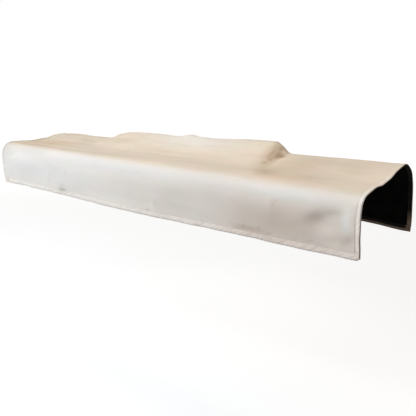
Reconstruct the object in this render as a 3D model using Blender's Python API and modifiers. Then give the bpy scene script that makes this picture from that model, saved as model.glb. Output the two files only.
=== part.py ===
"""Keyboard dust cover: one draped cloth with turned hems and one hemmed slit.

The cloth hangs as a long tunnel, open at both ends and below: a front skirt, a
rounded front bend, a top that rises towards the back, a raised ridge along the
middle of the back, a rounded back bend and a back skirt. The skirt swings out a
little at its left end. A slit runs along the back of the ridge. Frame: +X along the
cover's length, +Y to its back, +Z up, with the origin on the underside of the top,
at mid-length and mid-depth.
"""
import math
from typing import Callable, NamedTuple, Sequence

import bmesh
import bpy
import numpy as np

MM = 0.001

OBJECT_NAME = "keyboard_dust_cover"
NODE_NAME = "cover"

# Driving dimensions, in metres.
LENGTH = 1.400
CLOTH_THICKNESS = 0.0016
HEM_THICKNESS = 0.0030
HEM_WIDTH = 0.014
ORIGIN_DEPTH = 0.180
ORIGIN_HEIGHT = 0.1617
SLIT_LEFT = -0.298
SLIT_RIGHT = 0.324
RIDGE_LEAN = 0.10
HEM_WAVE_REACH_MM = 138.0
FLARE_REACH = 0.120
ROUND_CORNER = 0.691

CLOTH_COLOUR = (0.74, 0.66, 0.56, 1.0)
CLOTH_ROUGHNESS = 0.88
CLOTH_METALLIC = 0.0


class SectionRow(NamedTuple):
    """One line of the cloth that runs the whole length, at each end.

    Depths run back from the front skirt and heights up from the front hem, both in
    millimetres on the outer face; cells is the number of grid cells to the next row.
    """

    place: str
    left_depth: float
    left_height: float
    right_depth: float
    right_height: float
    cells: int


SECTION = (
    SectionRow("front hem edge", 0, 11, 4, -2, 1),
    SectionRow("front hem line", -1, 25, 2, 12, 3),
    SectionRow("front middle", -6, 72, -6, 64, 3),
    SectionRow("front high", -5, 112, -6, 103, 2),
    SectionRow("front shoulder", 2, 138, 1, 126, 2),
    SectionRow("front bend", 11, 151, 12, 138, 2),
    SectionRow("front brow", 26, 158, 32, 147, 2),
    SectionRow("top front", 52, 159, 62, 152, 3),
    SectionRow("top middle", 118, 156, 118, 155, 2),
    SectionRow("foot of the rise", 146, 158, 146, 158, 1),
    SectionRow("rise", 172, 161, 172, 163, 2),
    SectionRow("upper rise", 200, 166, 200, 171, 3),
    SectionRow("crest", 252, 171, 250, 182, 1),
    SectionRow("slit front edge", 266, 172, 265, 184, 1),
    SectionRow("slit back edge", 285, 171, 285, 181, 1),
    SectionRow("back brow", 302, 165, 304, 171, 2),
    SectionRow("back bend", 325, 147, 329, 153, 2),
    SectionRow("back shoulder", 341, 122, 346, 124, 2),
    SectionRow("back high", 352, 86, 354, 86, 3),
    SectionRow("back hem line", 360, 16, 361, 14, 1),
    SectionRow("back hem edge", 359, 2, 360, 0, 0),
)


class LengthStation(NamedTuple):
    """One line of the cloth that runs from hem to hem, and the cells to the next."""

    place: str
    x: float
    cells: int


STATIONS = (
    LengthStation("left hem edge", -LENGTH / 2, 1),
    LengthStation("left hem line", -LENGTH / 2 + HEM_WIDTH, 8),
    LengthStation("left foot of the ridge", -0.400, 4),
    LengthStation("slit left end", SLIT_LEFT, 20),
    LengthStation("slit right end", SLIT_RIGHT, 3),
    LengthStation("right foot of the ridge", 0.368, 9),
    LengthStation("right hem line", LENGTH / 2 - HEM_WIDTH, 1),
    LengthStation("start of the rounded corner", ROUND_CORNER, 1),
    LengthStation("right hem edge", LENGTH / 2, 0),
)


class Step(NamedTuple):
    """A value at a place; the tables are read on a smooth curve through the steps."""

    place: str
    at: float
    value: float


# Height of the raised ridge along its crest, in millimetres, against x in metres.
RIDGE_CREST = (
    Step("left foot", -0.405, 0.0),
    Step("left slope", -0.340, 19.5),
    Step("left shoulder", -0.270, 28.0),
    Step("left rise", -0.160, 29.8),
    Step("left dip", -0.068, 27.0),
    Step("short wave", -0.008, 36.0),
    Step("right dip", 0.040, 29.0),
    Step("end of the dip", 0.085, 28.5),
    Step("right rise", 0.235, 34.3),
    Step("right shoulder", 0.316, 33.5),
    Step("right slope", 0.340, 21.0),
    Step("right foot", 0.368, 0.0),
)

# Share of the ridge's height against the depth from the front skirt, in metres.
RIDGE_RAMP = (
    Step("front foot", 0.140, 0.0),
    Step("lower ramp", 0.172, 0.08),
    Step("ramp", 0.202, 0.34),
    Step("upper ramp", 0.232, 0.68),
    Step("brow", 0.254, 0.93),
    Step("crest", 0.266, 1.0),
    Step("back foot", 0.286, 0.0),
)

# Unevenness of the two lower hems, in millimetres up, against x in metres.
FRONT_HEM_WAVE = (
    Step("left corner", -0.700, -1.0),
    Step("left rise", -0.600, -0.5),
    Step("left stretch", -0.480, -1.5),
    Step("left slope", -0.300, -4.5),
    Step("middle slope", -0.110, -8.8),
    Step("middle sag", 0.050, -10.3),
    Step("right slope", 0.200, -7.6),
    Step("right rise", 0.350, -6.0),
    Step("right sag", 0.510, -7.2),
    Step("right stretch", 0.620, -5.9),
    Step("start of the rounded corner", ROUND_CORNER, -5.1),
    Step("right corner", 0.700, -0.5),
)
BACK_HEM_WAVE = (
    Step("left corner", -0.700, 2.0),
    Step("left sag", -0.380, -6.0),
    Step("middle rise", -0.020, 2.0),
    Step("right sag", 0.360, -5.0),
    Step("right stretch", 0.590, -12.0),
    Step("right corner", 0.680, -18.0),
)

# How far the front skirt's left end swings out, in millimetres, against the run in
# metres along the cloth from the front hem.
LEFT_FLARE = (
    Step("hem", 0.0, 7.0),
    Step("high on the skirt", 0.085, 6.5),
    Step("shoulder", 0.140, 3.0),
    Step("brow", 0.180, 0.0),
)


class Fold(NamedTuple):
    """A soft ridge or trough: its middle on the cloth, its reach and its height.

    x is along the cover and run is along the cloth from the front hem, both in
    metres, as are the half lengths; turn is in degrees from +X towards the back.
    """

    place: str
    x: float
    run: float
    half_length: float
    half_width: float
    turn: float
    height_mm: float


FOLDS = (
    Fold("front dent", 0.603, 0.083, 0.060, 0.034, 22.0, -5.0),
    Fold("swell by the right hem", 0.677, 0.082, 0.060, 0.028, 96.0, 4.5),
    Fold("swell under the dent", 0.630, 0.050, 0.060, 0.026, 30.0, 3.0),
    Fold("hollow by the corner", 0.672, 0.038, 0.045, 0.022, 60.0, -1.2),
    Fold("upright ridge of the front", 0.470, 0.095, 0.070, 0.030, 90.0, 1.5),
    Fold("hollow beside it", 0.400, 0.070, 0.075, 0.045, 80.0, -1.5),
    Fold("middle swell of the front", 0.130, 0.090, 0.130, 0.050, 6.0, 2.5),
    Fold("upright hollow of the front", 0.040, 0.050, 0.060, 0.036, 84.0, -1.5),
    Fold("left hollow of the front", -0.395, 0.060, 0.055, 0.040, 76.0, -2.0),
    Fold("left swell of the front", -0.560, 0.090, 0.110, 0.050, 4.0, 3.0),
    Fold("pull from the right brow", 0.385, 0.250, 0.080, 0.040, -52.0, -3.5),
    Fold("hollow before the ridge", 0.060, 0.269, 0.300, 0.036, 1.0, -1.2),
    Fold("gather at the ridge's right end", 0.353, 0.345, 0.085, 0.026, 90.0, -5.0),
    Fold("left swell of the top", -0.600, 0.398, 0.105, 0.055, 4.0, 4.5),
    Fold("left hollow of the top", -0.455, 0.330, 0.110, 0.050, -22.0, -4.0),
    Fold("left edge hollow", -0.690, 0.335, 0.040, 0.030, 0.0, -2.5),
    Fold("left edge swell", -0.680, 0.215, 0.060, 0.050, 0.0, 3.5),
    Fold("right swell of the top", 0.560, 0.330, 0.120, 0.045, -6.0, 2.5),
    Fold("back left fold", -0.430, 0.545, 0.090, 0.050, 84.0, 6.0),
    Fold("back left hollow", -0.250, 0.560, 0.090, 0.060, 88.0, -5.0),
    Fold("back middle fold", 0.010, 0.560, 0.085, 0.055, 96.0, 5.0),
    Fold("back right hollow", 0.240, 0.560, 0.090, 0.060, 86.0, -6.0),
    Fold("back right fold", 0.450, 0.560, 0.090, 0.055, 94.0, 4.0),
)

Point = tuple[float, float, float]


def smooth(share: float) -> float:
    """Ease a share from 0 to 1 with level ends."""
    held = min(max(share, 0.0), 1.0)
    return held * held * (3.0 - 2.0 * held)


def slopes_of(places: np.ndarray, values: np.ndarray) -> np.ndarray:
    """Return a slope at each step that keeps a smooth curve from overshooting.

    The ends and every peak and dip are level; elsewhere the slopes of the runs on
    both sides are averaged, the shorter run counting for more.
    """
    gaps = np.diff(places)
    rates = np.diff(values) / gaps
    slopes = np.zeros(len(places))
    for index in range(1, len(places) - 1):
        before, after = rates[index - 1], rates[index]
        if before * after > 0.0:
            far = 2.0 * gaps[index] + gaps[index - 1]
            near = gaps[index] + 2.0 * gaps[index - 1]
            slopes[index] = (far + near) / (far / before + near / after)
    return slopes


def traced(steps: Sequence[Step], at: float) -> float:
    """Read a table of steps at one place, on a smooth curve through the steps."""
    places = np.array([step.at for step in steps])
    values = np.array([step.value for step in steps])
    slopes = slopes_of(places, values)
    low = int(np.clip(np.searchsorted(places, at) - 1, 0, len(places) - 2))
    gap = places[low + 1] - places[low]
    share = min(max((at - places[low]) / gap, 0.0), 1.0)
    eased = smooth(share)
    leave = share * (1.0 - share) ** 2
    arrive = share * share * (share - 1.0)
    return float(
        values[low] * (1.0 - eased)
        + values[low + 1] * eased
        + gap * (leave * slopes[low] + arrive * slopes[low + 1])
    )


def column_places() -> list[float]:
    """Return the x of every grid column, from the left hem edge to the right one."""
    places = [STATIONS[0].x]
    for low, high in zip(STATIONS, STATIONS[1:]):
        for cell in range(1, low.cells + 1):
            places.append(low.x + (high.x - low.x) * cell / low.cells)
    return places


def row_number(place: str) -> int:
    """Return the grid row of a named line of the section."""
    count = 0
    for row in SECTION:
        if row.place == place:
            return count
        count += row.cells
    raise ValueError(place)


def section_rows(x: float) -> np.ndarray:
    """Return depth and height, in metres, of every table row at one place along x.

    The left and right ends blend over the length, and the lower hems take their
    wave, which fades out up the skirt.
    """
    right = 0.5 + x / LENGTH
    rows = []
    for row in SECTION:
        depth = row.left_depth + (row.right_depth - row.left_depth) * right
        height = row.left_height + (row.right_height - row.left_height) * right
        wave = traced(BACK_HEM_WAVE if row.place.startswith("back") else FRONT_HEM_WAVE, x)
        fade = smooth(1.0 - height / HEM_WAVE_REACH_MM)
        rows.append((depth * MM, (height + wave * fade) * MM))
    return np.array(rows)


def rounded(rows: np.ndarray) -> np.ndarray:
    """Return the grid points of one section: a soft curve through its table rows."""
    chords = np.linalg.norm(np.diff(rows, axis=0), axis=1)
    run = np.concatenate(([0.0], np.cumsum(chords)))
    slopes = np.gradient(rows, run, axis=0)
    points = [rows[0]]
    for index, chord in enumerate(chords):
        cells = SECTION[index].cells
        for cell in range(1, cells + 1):
            share = cell / cells
            start = 2 * share**3 - 3 * share**2 + 1
            leave = share**3 - 2 * share**2 + share
            arrive = share**3 - share**2
            points.append(
                start * rows[index]
                + (1 - start) * rows[index + 1]
                + chord * (leave * slopes[index] + arrive * slopes[index + 1])
            )
    return np.array(points)


def fold_height(x: float, run: float) -> float:
    """Add up every soft ridge and trough at one place of the cloth, in metres."""
    total = 0.0
    for fold in FOLDS:
        turn = math.radians(fold.turn)
        across_x = x - fold.x
        across_run = run - fold.run
        along = (across_x * math.cos(turn) + across_run * math.sin(turn)) / fold.half_length
        aside = (across_run * math.cos(turn) - across_x * math.sin(turn)) / fold.half_width
        total += fold.height_mm * MM * smooth(1.0 - abs(along)) * smooth(1.0 - abs(aside))
    return total


def cloth_column(x: float) -> list[Point]:
    """Return the outer face's points along one grid column, front hem to back hem."""
    flat = rounded(section_rows(x))
    run = np.concatenate(([0.0], np.cumsum(np.linalg.norm(np.diff(flat, axis=0), axis=1))))
    heading = np.gradient(flat, run, axis=0)
    heading /= np.linalg.norm(heading, axis=1)[:, None]
    crest = traced(RIDGE_CREST, x) * MM
    near_left = smooth(1.0 - (x + LENGTH / 2) / FLARE_REACH)
    points = []
    for (depth, height), (ahead, up), place in zip(flat, heading, run):
        fold = fold_height(x, float(place))
        lift = crest * traced(RIDGE_RAMP, float(depth))
        swing = traced(LEFT_FLARE, float(place)) * near_left * MM
        points.append(
            (
                x - swing,
                float(depth - up * fold + RIDGE_LEAN * lift) - ORIGIN_DEPTH,
                float(height + ahead * fold + lift) - ORIGIN_HEIGHT,
            )
        )
    return points


def add_sheet(columns: list[float], shape: Callable[[float], list[Point]]) -> bpy.types.Object:
    """Add a grid of the wanted cells and lay each of its columns on the cloth."""
    laid = [shape(x) for x in columns]
    rows = len(laid[0])
    bpy.ops.mesh.primitive_grid_add(
        x_subdivisions=len(columns) - 1, y_subdivisions=rows - 1, size=1.0
    )
    sheet = bpy.context.object
    sheet.name = NODE_NAME
    sheet.data.name = NODE_NAME
    for vertex in sheet.data.vertices:
        column = round((vertex.co.x + 0.5) * (len(columns) - 1))
        row = round((vertex.co.y + 0.5) * (rows - 1))
        vertex.co = laid[column][row]
    return sheet


def cut_slit(sheet: bpy.types.Object, columns: list[float]) -> None:
    """Open the slit: remove the cells between its front and back edges."""
    front_row = row_number("slit front edge")
    count = len(columns)
    mesh = bmesh.new()
    mesh.from_mesh(sheet.data)
    opened = []
    for face in mesh.faces:
        middle = face.calc_center_median().x
        lowest_row = min(vertex.index // count for vertex in face.verts)
        if lowest_row == front_row and SLIT_LEFT < middle < SLIT_RIGHT:
            opened.append(face)
    bmesh.ops.delete(mesh, geom=opened, context="FACES")
    mesh.to_mesh(sheet.data)
    mesh.free()


def mark_hems(sheet: bpy.types.Object) -> str:
    """Weight the points on open edges, where the turned hem is thicker."""
    mesh = bmesh.new()
    mesh.from_mesh(sheet.data)
    edge_points = [vertex.index for vertex in mesh.verts if vertex.is_boundary]
    mesh.free()
    group = sheet.vertex_groups.new(name="hem")
    group.add(edge_points, 1.0, "REPLACE")
    return group.name


def thicken(sheet: bpy.types.Object, group: str) -> None:
    """Give the sheet its cloth thickness inwards, and more along the hems."""
    solid = sheet.modifiers.new("cloth thickness", "SOLIDIFY")
    solid.thickness = HEM_THICKNESS
    solid.offset = -1.0
    solid.vertex_group = group
    solid.thickness_vertex_group = CLOTH_THICKNESS / HEM_THICKNESS
    solid.use_even_offset = False
    solid.use_rim = True


def cloth_material() -> bpy.types.Material:
    """Return the plain cream canvas of the cover."""
    material = bpy.data.materials.new("cream canvas")
    material.use_nodes = True
    shader = material.node_tree.nodes["Principled BSDF"]
    shader.inputs["Base Color"].default_value = CLOTH_COLOUR
    shader.inputs["Roughness"].default_value = CLOTH_ROUGHNESS
    shader.inputs["Metallic"].default_value = CLOTH_METALLIC
    return material


def clear_scene() -> None:
    """Remove every object of the opening scene."""
    for found in list(bpy.data.objects):
        bpy.data.objects.remove(found, do_unlink=True)


def main() -> None:
    """Build the cover in a collection of its own."""
    clear_scene()
    collection = bpy.data.collections.new(OBJECT_NAME)
    bpy.context.scene.collection.children.link(collection)
    columns = column_places()
    sheet = add_sheet(columns, cloth_column)
    for holder in list(sheet.users_collection):
        holder.objects.unlink(sheet)
    collection.objects.link(sheet)
    cut_slit(sheet, columns)
    thicken(sheet, mark_hems(sheet))
    sheet.data.materials.append(cloth_material())
    sheet.data.shade_smooth()


main()
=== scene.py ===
"""The looks of a keyboard dust cover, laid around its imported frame.

One cream canvas sheet with a dark coated reverse hangs as a long tunnel, open at both
ends and below: a front skirt, a soft front bend, a top that rises to a raised ridge, a
hemmed slit behind the ridge and a back skirt. Frame: +X along the cover's length, +Y to
its back, +Z up, with the origin under the top at mid-length and mid-depth.
"""
import logging
import math
from dataclasses import dataclass, field
from enum import Enum, IntEnum
from typing import Sequence

import bpy
import numpy as np
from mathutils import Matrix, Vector, noise


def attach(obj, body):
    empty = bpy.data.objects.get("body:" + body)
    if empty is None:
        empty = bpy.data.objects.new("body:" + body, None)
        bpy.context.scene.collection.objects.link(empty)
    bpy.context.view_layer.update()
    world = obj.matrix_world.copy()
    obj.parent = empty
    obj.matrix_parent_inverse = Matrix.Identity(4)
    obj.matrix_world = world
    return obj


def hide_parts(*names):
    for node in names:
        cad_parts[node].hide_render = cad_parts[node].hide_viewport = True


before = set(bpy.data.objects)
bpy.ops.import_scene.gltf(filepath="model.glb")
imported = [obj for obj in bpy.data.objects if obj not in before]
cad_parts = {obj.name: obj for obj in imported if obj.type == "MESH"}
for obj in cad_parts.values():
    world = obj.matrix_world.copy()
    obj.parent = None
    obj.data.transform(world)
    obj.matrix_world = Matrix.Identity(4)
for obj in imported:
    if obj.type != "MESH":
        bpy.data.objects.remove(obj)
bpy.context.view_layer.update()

MM = 0.001
ROOT_BODY = "root"
COVER_NODE = "cover"

LENGTH = 1.400
ORIGIN_DEPTH = 0.180
ORIGIN_HEIGHT = 0.1617
SLIT_LEFT = -0.298
SLIT_RIGHT = 0.324
RIDGE_LEAN = 0.10
HEM_WAVE_REACH_MM = 138.0
CREASE_POWER = 1.7
CELL_SAMPLES = 64

UV_NAME = "flat_cloth"
EDGE_MASK = "edge_distance"
TOP_MASK = "top_share"
PAINTED_LIGHT_AND_STAIN = "stain_and_painted_light"
SLIT_MASK = "slit_distance"
SEAM_MASK = "seam_strength"
LONG_HEM_MASK = "long_hem_distance"

Array = np.ndarray
Colour = tuple[float, float, float]
Place = tuple[float, float, float]
Piece = bpy.types.Object
Mesh = bpy.types.Mesh
Material = bpy.types.Material
NodeTree = bpy.types.NodeTree
Node = bpy.types.Node
Socket = bpy.types.NodeSocket
Outputs = bpy.types.NodeOutputs
Inputs = dict[str | int, object]

log = logging.getLogger("dust_cover")


def smooth(share: Array) -> Array:
    """Ease shares from 0 to 1 with level ends; outside, they count as 0 and 1."""
    held = np.clip(share, 0.0, 1.0)
    return held * held * (3.0 - 2.0 * held)


def nearest(places: Array, at: float) -> int:
    """Return the number of the place that is nearest to a given one."""
    return int(np.argmin(np.abs(places - at)))


def run_along(points: Array, axis: int = 0) -> Array:
    """Return how far each point lies along its line of points, which follows an axis."""
    steps = np.linalg.norm(np.diff(points, axis=axis), axis=-1)
    return np.insert(np.cumsum(steps, axis=axis), 0, 0.0, axis=axis)


class Profile:
    """A table of places and values, read on a smooth curve without overshoot."""

    def __init__(self, *steps: tuple[float, float]) -> None:
        """Keep the steps and measure the slope at each: level at ends, peaks and dips.

        Args:
            steps: Each step's place and the value there, in order of the places.
        """
        self.places, self.values = np.array(steps, dtype=float).T
        gaps = np.diff(self.places)
        rates = np.diff(self.values) / gaps
        self.slopes = np.zeros(len(steps))
        for index in range(1, len(steps) - 1):
            before, after = rates[index - 1], rates[index]
            if before * after > 0.0:
                far = 2.0 * gaps[index] + gaps[index - 1]
                near = gaps[index] + 2.0 * gaps[index - 1]
                self.slopes[index] = (far + near) / (far / before + near / after)

    def read(self, at: Array) -> Array:
        """Read the table.

        Args:
            at: The places to read at; outside the table its end values hold.

        Returns:
            One value for each place.
        """
        places, values, slopes = self.places, self.values, self.slopes
        low = np.clip(np.searchsorted(places, at) - 1, 0, len(places) - 2)
        gap = places[low + 1] - places[low]
        share = np.clip((at - places[low]) / gap, 0.0, 1.0)
        eased = smooth(share)
        leave = share * (1.0 - share) ** 2
        arrive = share * share * (share - 1.0)
        straight = values[low] * (1.0 - eased) + values[low + 1] * eased
        return straight + gap * (leave * slopes[low] + arrive * slopes[low + 1])


class Side(IntEnum):
    """The sheet's material slots."""

    OUTER = 0
    REVERSE = 1
    TURNED_HEM = 2


class Shape(Enum):
    """How a fold rises across its width."""

    SOFT = "soft"
    CREASED = "creased"


class Tint(Enum):
    """What a full mark of tone does to the cloth's red, green and blue: mostly painted shade and painted
    light, with a few small spots.
    """

    GREY = (0.46, 0.45, 0.43)
    SOIL = (0.54, 0.45, 0.35)
    OLIVE = (0.61, 0.50, 0.34)
    OCHRE = (0.75, 0.52, 0.25)
    WARM = (0.57, 0.37, 0.25)
    RUST = (0.45, 0.30, 0.20)
    PALE = (1.12, 1.24, 1.38)
    COOL = (0.95, 1.08, 1.28)
    LIGHT = (1.20, 1.20, 1.20)


@dataclass(frozen=True)
class Fold:
    """A ridge or hollow of the cloth: its middle, its reach and its height.

    x is along the cover and run is along the cloth from the front hem. They are in
    millimetres, as are the half lengths and the height; turn is in degrees from +X
    towards the back. A hollow has a height below 0. tone is how strongly the cloth's colour
    is changed there, in the given tint: mostly painted shade in hollows, creases and
    puckers, and painted light, with a few small spots; a mark of tone alone has no height.
    """

    place: str
    x: float
    run: float
    half_length: float
    half_width: float
    turn: float
    height: float
    tone: float = 0.0
    tint: Tint = Tint.SOIL
    shape: Shape = Shape.SOFT

    def share(self, x: Array, run: Array) -> Array:
        """Return how far each place of the cloth lies up this fold, from 0 to 1."""
        turn = math.radians(self.turn)
        right, back = x / MM - self.x, run / MM - self.run
        along = (right * math.cos(turn) + back * math.sin(turn)) / self.half_length
        aside = (back * math.cos(turn) - right * math.sin(turn)) / self.half_width
        rise = smooth(1.0 - np.abs(aside))
        if self.shape is Shape.CREASED:
            rise = np.clip(1.0 - np.abs(aside), 0.0, 1.0) ** CREASE_POWER
        return smooth(1.0 - np.abs(along)) * rise

    def stain_and_painted_light(self, share: Array) -> Array:
        """Return the factors on red, green and blue that this fold's tone, mostly painted shade and light,
        leaves at given shares.
        """
        return 1.0 - self.tone * share[..., None] * (1.0 - np.array(self.tint.value))


# The lines of the cloth that run the whole length: the depth back from the front skirt
# and the height over the front hem, at the left end and then at the right, in mm.
SECTION = {
    "front hem edge": (0, 11, 4, -2),
    "front hem line": (-1, 25, 2, 12),
    "front middle": (-6, 72, -6, 64),
    "front high": (-5, 112, -6, 103),
    "front shoulder": (2, 138, 1, 126),
    "front bend": (11, 151, 12, 138),
    "front brow": (26, 158, 32, 147),
    "top front": (52, 159, 62, 152),
    "top middle": (118, 156, 118, 155),
    "foot of the rise": (146, 158, 146, 158),
    "rise": (172, 161, 172, 163),
    "upper rise": (200, 166, 200, 171),
    "crest": (252, 171, 250, 182),
    "slit front edge": (266, 172, 265, 184),
    "slit back edge": (285, 171, 285, 181),
    "back brow": (302, 165, 304, 171),
    "back bend": (325, 147, 329, 153),
    "back shoulder": (341, 122, 346, 124),
    "back high": (352, 86, 354, 86),
    "back hem line": (360, 16, 361, 14),
    "back hem edge": (359, 2, 360, 0),
}

# How high the ridge stands, in mm, against x, and its share of that against the depth.
RIDGE_CREST = Profile(
    (-0.405, 0.0), (-0.340, 19.5), (-0.270, 28.0), (-0.160, 29.8), (-0.068, 27.0), (-0.008, 36.0),
    (0.040, 29.0), (0.085, 28.5), (0.235, 34.3), (0.316, 33.5), (0.340, 21.0), (0.368, 0.0),
)
RIDGE_RAMP = Profile(
    (0.140, 0.0), (0.172, 0.08), (0.202, 0.34), (0.232, 0.68), (0.254, 0.93), (0.266, 1.0), (0.286, 0.0),
)

# How the long hems wave up and down, in mm, against x.
FRONT_HEM_WAVE = Profile(
    (-0.700, -1.0), (-0.600, -0.5), (-0.480, -1.5), (-0.300, -4.5), (-0.110, -8.8), (0.050, -10.3),
    (0.200, -7.6), (0.350, -6.0), (0.510, -7.2), (0.620, -5.9), (0.691, -5.1), (0.700, -0.5),
)
BACK_HEM_WAVE = Profile(
    (-0.700, 2.0), (-0.380, -6.0), (-0.020, 2.0), (0.360, -5.0), (0.590, -12.0), (0.680, -18.0),
)

# How far the front skirt's left end swings out, in mm, against the run from its hem.
LEFT_FLARE = Profile((0.0, 7.0), (0.085, 6.5), (0.140, 3.0), (0.180, 0.0))
FLARE_REACH = 0.120

# Where the white skirt turns to the cream top: the run in mm, against x. The top's darker, warmer cream is
# painted light, the warm overhead lamp on the top and the cool key light on the skirt, on one cloth.
TOP_EDGE = Profile(
    (-0.700, 141.0), (-0.440, 142.5), (-0.250, 144.0), (0.000, 147.5),
    (0.200, 151.0), (0.450, 147.5), (0.700, 146.0),
)
TOP_EDGE_WIDTH = 0.032

# How level the cloth is where the back bend starts to take on the top's colour; that painted light follows
# how level the cloth is, as light from above falls on it.
BACK_TOP_LEVEL = 0.74

# How strongly the hems' painted highlight and painted shade show, from 0 to 1, against x.
SEAM_ALONG_THE_HEM = Profile(
    (-0.700, 0.80), (-0.680, 0.50), (-0.600, 0.32), (-0.300, 0.45),
    (0.050, 0.72), (0.320, 0.90), (0.450, 1.0), (0.700, 1.0),
)
SEAM_REACH_UP_THE_END = 0.260

# The large folds, which the solid has as well; the tone of a hollow paints its shade.
MAIN_FOLDS = (
    Fold("front dent", 603, 83, 60, 34, 22, -5),
    Fold("swell by the right hem", 677, 82, 60, 28, 96, 4.5),
    Fold("swell under the dent", 630, 50, 60, 26, 30, 3),
    Fold("hollow by the corner", 672, 38, 45, 22, 60, -1.2, 0.03),
    Fold("upright ridge of the front", 470, 95, 70, 30, 90, 1.5),
    Fold("hollow beside it", 400, 70, 75, 45, 80, -1.5),
    Fold("middle swell of the front", 130, 90, 130, 50, 6, 2.5),
    Fold("upright hollow of the front", 40, 50, 60, 36, 84, -1.5),
    Fold("left hollow of the front", -395, 60, 55, 40, 76, -2),
    Fold("left swell of the front", -560, 90, 110, 50, 4, 3),
    Fold("pull from the right brow", 385, 250, 80, 40, -52, -3.5),
    Fold("hollow before the ridge", 60, 269, 300, 36, 1, -1.2, 0.02),
    Fold("gather at the ridge's right end", 353, 345, 85, 26, 90, -5),
    Fold("left swell of the top", -600, 398, 105, 55, 4, 4.5),
    Fold("left hollow of the top", -455, 330, 110, 50, -22, -4, 0.12),
    Fold("left edge hollow", -690, 335, 40, 30, 0, -2.5),
    Fold("left edge swell", -680, 215, 60, 50, 0, 3.5),
    Fold("right swell of the top", 560, 330, 120, 45, -6, 2.5),
    Fold("back left fold", -430, 545, 90, 50, 84, 6),
    Fold("back left hollow", -250, 560, 90, 60, 88, -5, 0.08),
    Fold("back middle fold", 10, 560, 85, 55, 96, 5),
    Fold("back right hollow", 240, 560, 90, 60, 86, -6, 0.08),
    Fold("back right fold", 450, 560, 90, 55, 94, 4),
)

# Puckers, pulls, creases and streaks. Their tones paint the shade in them, and the pale fold's tone paints
# light.
FINE_FOLDS = (
    Fold("main pucker of the gather", 350.5, 367, 25, 10.5, 86, -1.8, 0.66, Tint.OLIVE),
    Fold("end of the pucker", 342, 339, 10, 9, 80, -0.9, 0.46, Tint.OLIVE),
    Fold("blot under the pucker", 334.5, 316, 14, 12, 40, -1.2, 0.5, Tint.OLIVE),
    Fold("blot beside the pucker", 359, 376.5, 14, 11.5, 60, -0.8, 0.88, Tint.OLIVE),
    Fold("spot over the pucker", 342, 394, 9, 8, 80, -0.6, 0.62, Tint.RUST),
    Fold("spot at the silhouette", 347, 407, 22, 7, 10, -0.6, 0.62),
    Fold("rib before the pucker", 327, 352, 34, 9, 80, 1.6, shape=Shape.CREASED),
    Fold("rib behind the pucker", 355, 350, 28, 8.5, 84, 1.2, shape=Shape.CREASED),
    Fold("rib under the pucker", 336, 328, 18, 7.5, 20, 1),
    Fold("left pull of the ridge", -345, 352, 75, 14, 62, -1.6, 0.14),
    Fold("left pull's rib", -318, 344, 70, 13, 64, 1.3),
    Fold("long crease of the right top", 527, 230, 50, 8, 4, -1, 0.22),
    Fold("front streak of the left top", -585, 180, 130, 16, 0.5, -1, 0.22),
    Fold("streak of the left top", -420, 243, 190, 10, -9, -1.2, 0.2),
    Fold("rib of the left top", -430, 226, 170, 11, -8, 1.1),
    Fold("back streak of the left top", -455, 347, 80, 12, -12, -1.3, 0.18),
    Fold("second back streak", -560, 300, 90, 12, -14, -1.2, 0.2),
    Fold("spot by the left edge", -670, 246, 24, 18, -30, -0.6, 0.2),
    Fold("second spot by the left edge", -684, 318, 26, 10, -34, -0.8, 0.26),
    Fold("streak before the ridge", -20, 283, 160, 10, 1.5, -1.1, 0.12),
    Fold("rib before the ridge", -60, 305, 150, 11, 2, 0.9),
    Fold("streak on the ridge's left", -158, 365, 70, 11, -8, -1, 0.1),
    Fold("streak of the right top", 600, 320, 70, 10, -4, -0.9, 0.12),
    Fold("sag of the left end", -700, 342, 40, 34, 90, -2.2),
    Fold("pale fold in the middle", 57, 42, 24, 10, 88, 0.5, 0.34, Tint.LIGHT),
    Fold("shade beside the pale fold", 77, 47, 20, 8, 88, -0.5, 0.1, Tint.GREY),
    Fold("first short streak", -610, 100, 28, 6, 28, -0.4, 0.16),
    Fold("second short streak", -335, 80, 24, 6, 60, -0.4, 0.16),
    Fold("upright crease of the front", 466, 92, 50, 7, 88, 1.1, shape=Shape.CREASED),
    Fold("short crease over the hem", 68, 32, 28, 5, 86, 1, shape=Shape.CREASED),
    Fold("smudge by the left hem", -364, 18, 34, 11, 4, -0.6, 0.62, Tint.GREY),
    Fold("smudge's shade", -363, 34, 20, 9, 4, -0.4, 0.22, Tint.GREY),
    Fold("faint left upright", -425, 52, 34, 5, 65, -0.8, 0.26, shape=Shape.CREASED),
    Fold("tick on the front", 476.5, 106.5, 18, 5, 53, -0.8, 0.22),
    Fold("shade by the left bend", -640, 112, 50, 18, 12, -1, 0.1),
    Fold("pull from the dent", 540, 62, 55, 16, 30, -0.7, 0.05),
    Fold("pull over the dent", 645, 105, 40, 14, 12, -1, 0.14),
    Fold("first pucker of the hem", 383, 27, 12, 8, 70, -0.8, 0.2),
    Fold("second pucker of the hem", 430, 32, 10, 7, 66, -0.8, 0.3),
    Fold("third pucker of the hem", 460, 22, 18, 7, 20, -0.8, 0.26),
    Fold("fourth pucker of the hem", 572, 23, 20, 8, 20, -0.9, 0.22),
    Fold("fifth pucker of the hem", 535, 22, 8, 8, 60, -0.6, 0.24),
    Fold("sixth pucker of the hem", 602, 24, 9, 7, 60, -0.6, 0.12),
    Fold("first back crease", -560, 560, 70, 8, 82, 1.2, shape=Shape.CREASED),
    Fold("second back crease", 120, 545, 80, 9, 92, -1.3, 0.14, shape=Shape.CREASED),
    Fold("third back crease", 600, 540, 80, 10, 78, -1.4, 0.14, shape=Shape.CREASED),
)
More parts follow.
